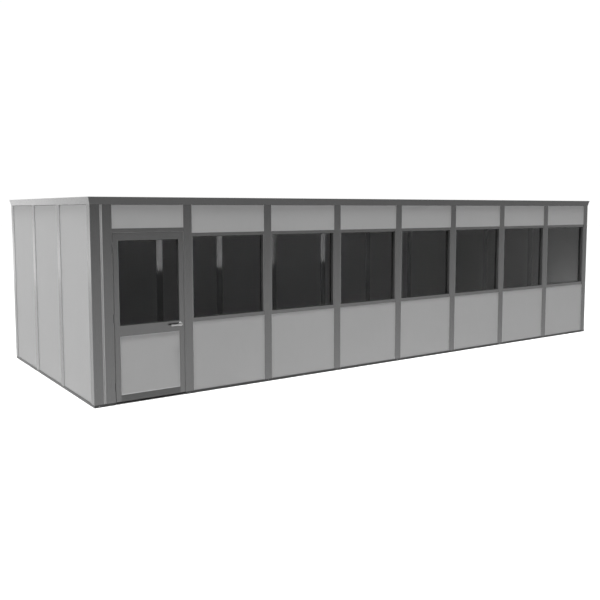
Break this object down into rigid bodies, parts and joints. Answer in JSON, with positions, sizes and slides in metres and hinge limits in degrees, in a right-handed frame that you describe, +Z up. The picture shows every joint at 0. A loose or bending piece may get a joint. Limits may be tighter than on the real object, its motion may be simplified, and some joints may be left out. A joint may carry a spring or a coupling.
{
  "type": "modular in-plant office",
  "caption": "Hollow rectangular in-plant office of flat panels between metal posts, with a window row, a part-glazed swing door with lever, a floor track and a flat trimmed roof.",
  "frame": {"origin": "on the floor, at the middle of the wall plan", "axes": "+X to the right along the front wall, -Y out of the front with the door and windows, +Z up"},
  "size_m": [9.9176, 3.8549, 2.573],
  "materials": {
    "frame": "satin anodised",
    "panel": "matt",
    "glass": "clear grey tint",
    "hardware": "satin",
    "deck": "galvanised"
  },
  "bodies": {
    "office": {"floor_track_front": "frame", "floor_track_back": "frame", "floor_track_left": "frame", "floor_track_right": "frame", "corner_post_front_left": "frame", "corner_post_front_right": "frame", "corner_post_back_left": "frame", "corner_post_back_right": "frame", "front_posts": "frame", "back_posts": "frame", "left_posts": "frame", "right_posts": "frame", "door_hinge_post": "frame", "window_sills": "frame", "window_heads": "frame", "window_jambs": "frame", "door_header": "frame", "door_jamb_hinge": "frame", "door_jamb_strike": "frame", "door_stops": "frame", "roof_trim_front": "frame", "roof_trim_back": "frame", "roof_trim_left": "frame", "roof_trim_right": "frame", "corner_filler": "panel", "sill_panels": "panel", "transom_panels": "panel", "back_panels": "panel", "left_panels": "panel", "right_panels": "panel", "window_panes": "glass", "door_threshold": "hardware", "strike_plate": "hardware", "hinge_frame_leaves": "hardware", "hinge_pins": "hardware", "roof_deck": "deck"},
    "door": {"door_stile_hinge": "frame", "door_stile_lock": "frame", "door_top_rail": "frame", "door_lock_rail": "frame", "door_bottom_rail": "frame", "door_glass": "glass", "door_panel": "panel", "hinge_door_leaves": "hardware", "lever_roses": "hardware", "latch_plate": "hardware"},
    "lever": {"lever_spindle": "hardware", "lever_arms": "hardware"}
  },
  "joints": [
    {"name": "door_swing", "type": "hinge", "parent": "office", "child": "door", "pos_m": [-4.6631, -1.8963, 1.081], "axis": [0, 0, -1], "range_deg": [0, 110]},
    {"name": "lever_turn", "type": "hinge", "parent": "door", "child": "lever", "pos_m": [-3.7806, -1.8668, 0.938], "axis": [0, -1, 0], "range_deg": [0, 45], "stiffness_Nm_per_rad": 1.2, "springref_deg": -20.05}
  ]
}
